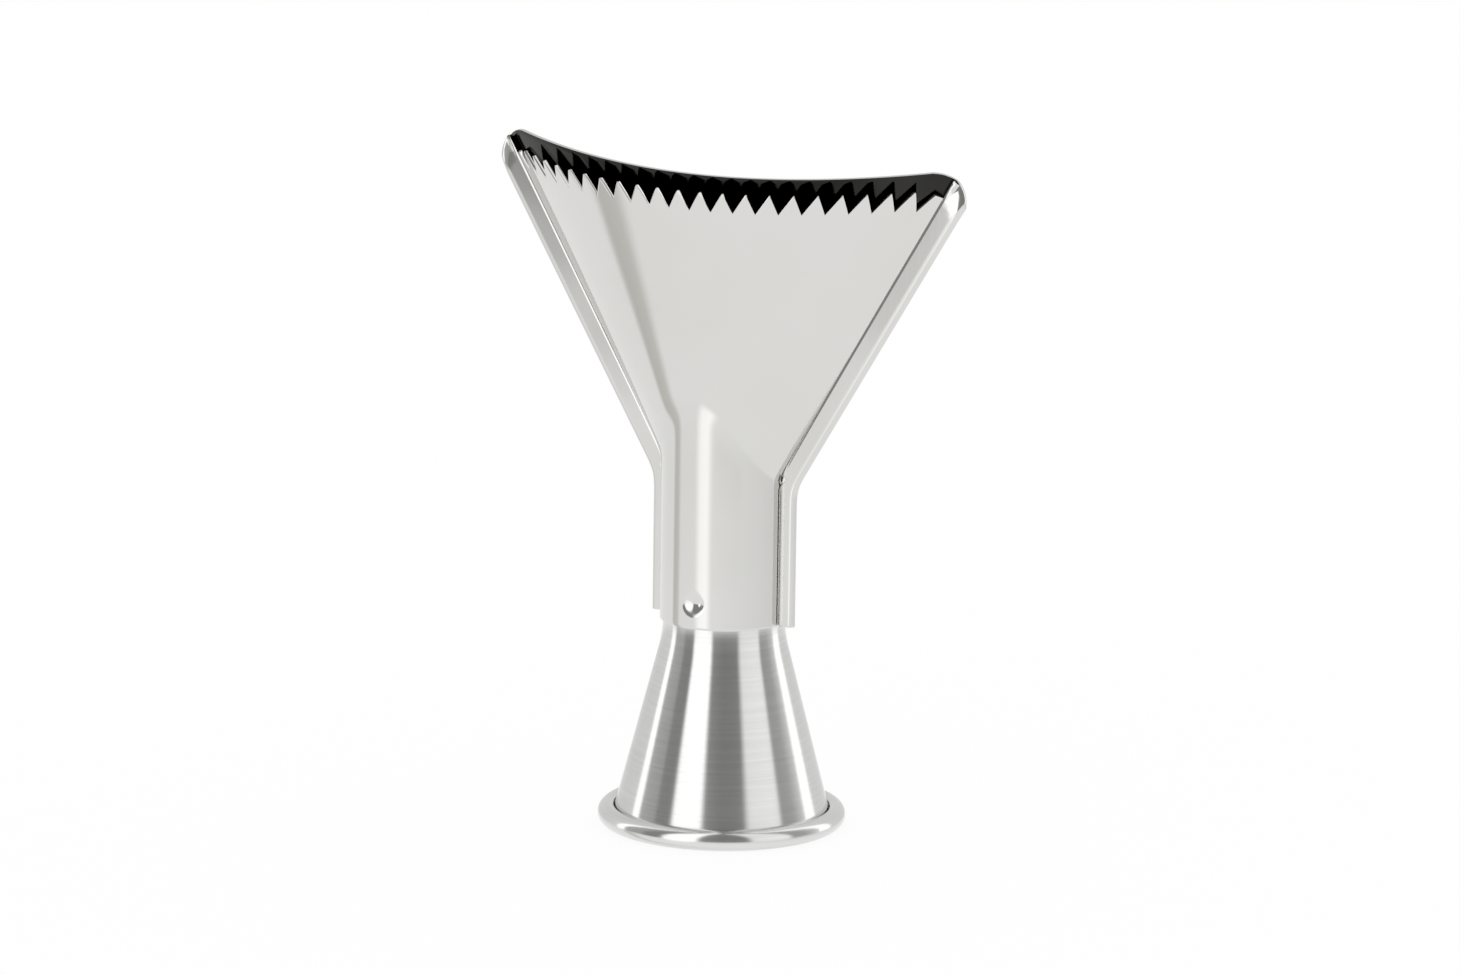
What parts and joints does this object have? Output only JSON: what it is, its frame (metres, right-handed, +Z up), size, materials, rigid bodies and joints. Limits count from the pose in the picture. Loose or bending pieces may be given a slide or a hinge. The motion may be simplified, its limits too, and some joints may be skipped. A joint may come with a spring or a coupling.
{
  "type": "piping tip",
  "caption": "Wide piping tip for yule logs: a spun cone with a rolled rim, a round neck and a fan-shaped flat mouth with V teeth along its front edge.",
  "frame": {"origin": "on the cone's axis, in the plane on which the rolled rim stands", "axes": "+Z up the cone's axis to the mouth, X across the mouth, the toothed side faces -Y"},
  "size_m": [0.0736, 0.035, 0.0963],
  "materials": {
    "spun_steel": "spun satin",
    "polished_sheet": "polished"
  },
  "bodies": {
    "root": {"cone_socket": "spun_steel", "toothed_front_shell": "polished_sheet", "hemmed_back_shell": "polished_sheet"}
  },
  "joints": []
}
